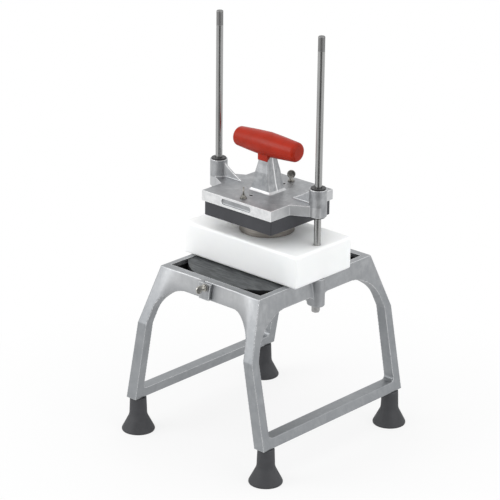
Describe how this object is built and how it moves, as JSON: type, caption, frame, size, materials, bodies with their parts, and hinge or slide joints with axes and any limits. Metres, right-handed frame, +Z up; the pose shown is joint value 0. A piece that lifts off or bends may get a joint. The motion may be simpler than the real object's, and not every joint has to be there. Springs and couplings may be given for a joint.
{
  "type": "manual vegetable slicer",
  "caption": "Table-top push slicer: a splayed cast frame on rubber feet, guide rods and a sliding gripped head that drives a fingered plunger into a blade cup.",
  "frame": {"origin": "on the table, under the middle of the frame, midway between the two guide rods", "axes": "+X from the left guide rod to the right one, +Y to the back, +Z up along the rods"},
  "size_m": [0.2852, 0.3048, 0.582],
  "materials": {
    "cast_aluminium": "tumbled cast aluminium, satin, slightly uneven",
    "rod_steel": "ground steel rod, smooth",
    "screw_steel": "plain turned steel",
    "thumb_screw_metal": "dull grey metal",
    "foot_rubber": "matte moulded rubber",
    "white_plastic": "satin white board plastic",
    "tray_plastic": "dark grey moulded plastic",
    "cup_steel": "rolled stainless steel",
    "blade_steel": "ground blade steel",
    "grip_plastic": "soft gloss red moulding",
    "black_plastic": "black bearing plastic",
    "plunger_plastic": "matte charcoal plastic",
    "insert_brass": "turned brass"
  },
  "bodies": {
    "frame": {"frame_half_left": "cast_aluminium", "frame_half_right": "cast_aluminium", "guide_rod_left": "rod_steel", "guide_rod_right": "rod_steel", "rod_screw_left": "screw_steel", "rod_screw_right": "screw_steel", "foot_front_left": "foot_rubber", "foot_front_right": "foot_rubber", "foot_back_left": "foot_rubber", "foot_back_right": "foot_rubber", "foot_screw_front_left": "screw_steel", "foot_screw_front_right": "screw_steel", "foot_screw_back_left": "screw_steel", "foot_screw_back_right": "screw_steel", "frame_washer_front": "screw_steel", "frame_washer_back": "screw_steel", "cutting_board": "white_plastic", "catch_tray": "tray_plastic", "blade_cup": "cup_steel", "blade_core": "blade_steel", "blade_1": "blade_steel", "blade_2": "blade_steel", "blade_3": "blade_steel", "blade_4": "blade_steel", "blade_5": "blade_steel", "blade_6": "blade_steel"},
    "head": {"head_casting": "cast_aluminium", "grip": "grip_plastic", "bushing_left_upper": "black_plastic", "bushing_left_lower": "black_plastic", "bushing_right_upper": "black_plastic", "bushing_right_lower": "black_plastic", "plunger": "plunger_plastic", "plunger_insert_front": "insert_brass", "plunger_insert_back": "insert_brass", "dowel_pin_front": "screw_steel", "dowel_pin_back": "screw_steel"},
    "head_screw_front": {"thumb_screw_front": "thumb_screw_metal"},
    "head_screw_back": {"thumb_screw_back": "thumb_screw_metal"},
    "lap_screw_front": {"frame_thumb_screw_front": "thumb_screw_metal"},
    "lap_screw_back": {"frame_thumb_screw_back": "thumb_screw_metal"}
  },
  "joints": [
    {"name": "head_slide", "type": "slide", "parent": "frame", "child": "head", "axis": [0, 0, 1], "range_m": [0, 0.2]},
    {"name": "head_screw_front_turn", "type": "hinge", "parent": "head", "child": "head_screw_front", "pos_m": [0, -0.048, 0.36], "axis": [0, 0, 1], "continuous": true},
    {"name": "head_screw_back_turn", "type": "hinge", "parent": "head", "child": "head_screw_back", "pos_m": [0, 0.048, 0.36], "axis": [0, 0, 1], "continuous": true},
    {"name": "lap_screw_front_turn", "type": "hinge", "parent": "frame", "child": "lap_screw_front", "pos_m": [-0.0028, -0.12, 0.241], "axis": [0, -1, 0], "continuous": true},
    {"name": "lap_screw_back_turn", "type": "hinge", "parent": "frame", "child": "lap_screw_back", "pos_m": [0.0028, 0.12, 0.241], "axis": [0, 1, 0], "continuous": true}
  ]
}
